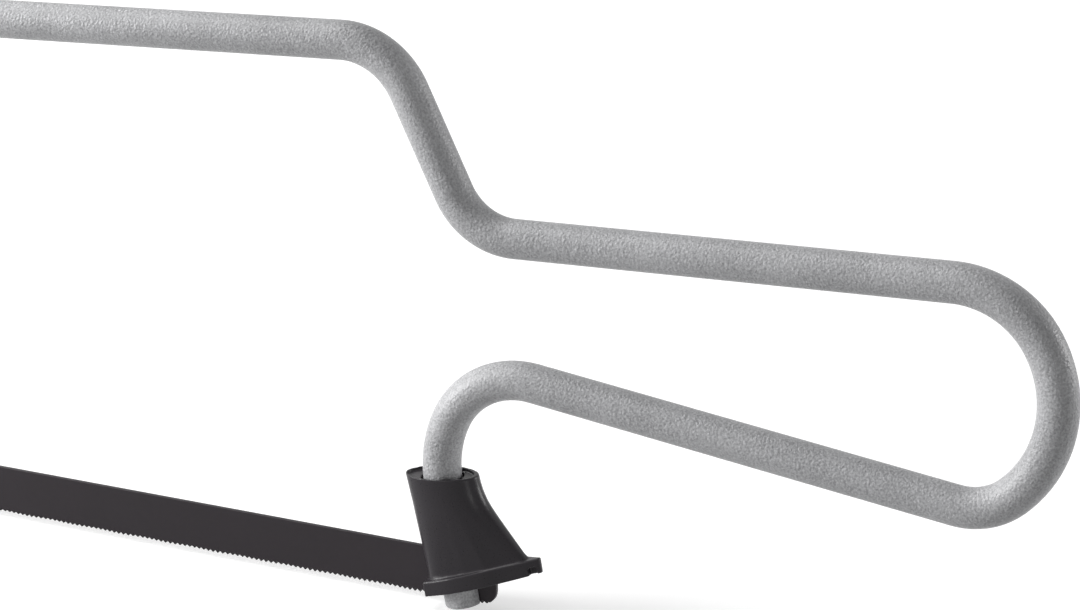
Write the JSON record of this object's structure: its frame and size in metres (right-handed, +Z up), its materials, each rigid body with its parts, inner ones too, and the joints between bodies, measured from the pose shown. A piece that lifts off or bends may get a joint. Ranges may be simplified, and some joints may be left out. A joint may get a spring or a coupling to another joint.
{
  "type": "mini hacksaw",
  "caption": "mini hacksaw: one bent steel rod makes the frame and looped handle, with a thin toothed blade held by cross pins in slotted rod ends and a sliding moulded holder",
  "frame": {"origin": "middle of the length, in the frame's plane, at the height of the lowest rim of the rod ends", "axes": "+X along the blade toward the handle end, +Y out of the frame's plane, +Z up from the teeth to the top bar"},
  "size_m": [0.2336, 0.0078, 0.0815],
  "materials": {
    "coated_rod": "silver-grey powder coat with a fine orange-peel grain",
    "blade_steel": "thin satin black coating, a little worn to steel on the tooth tips",
    "pin_steel": "blackened drawn steel, worn a little brighter on the end edges",
    "black_plastic": "satin moulded black plastic"
  },
  "bodies": {
    "saw": {"frame_rod": "coated_rod", "blade": "blade_steel", "front_blade_pin": "pin_steel", "rear_blade_pin": "pin_steel"},
    "holder": {"blade_holder": "black_plastic"}
  },
  "joints": [
    {"name": "holder_slide", "type": "slide", "parent": "saw", "child": "holder", "axis": [-0.1865, 0, 0.9825], "range_m": [0, 0.0018]}
  ]
}
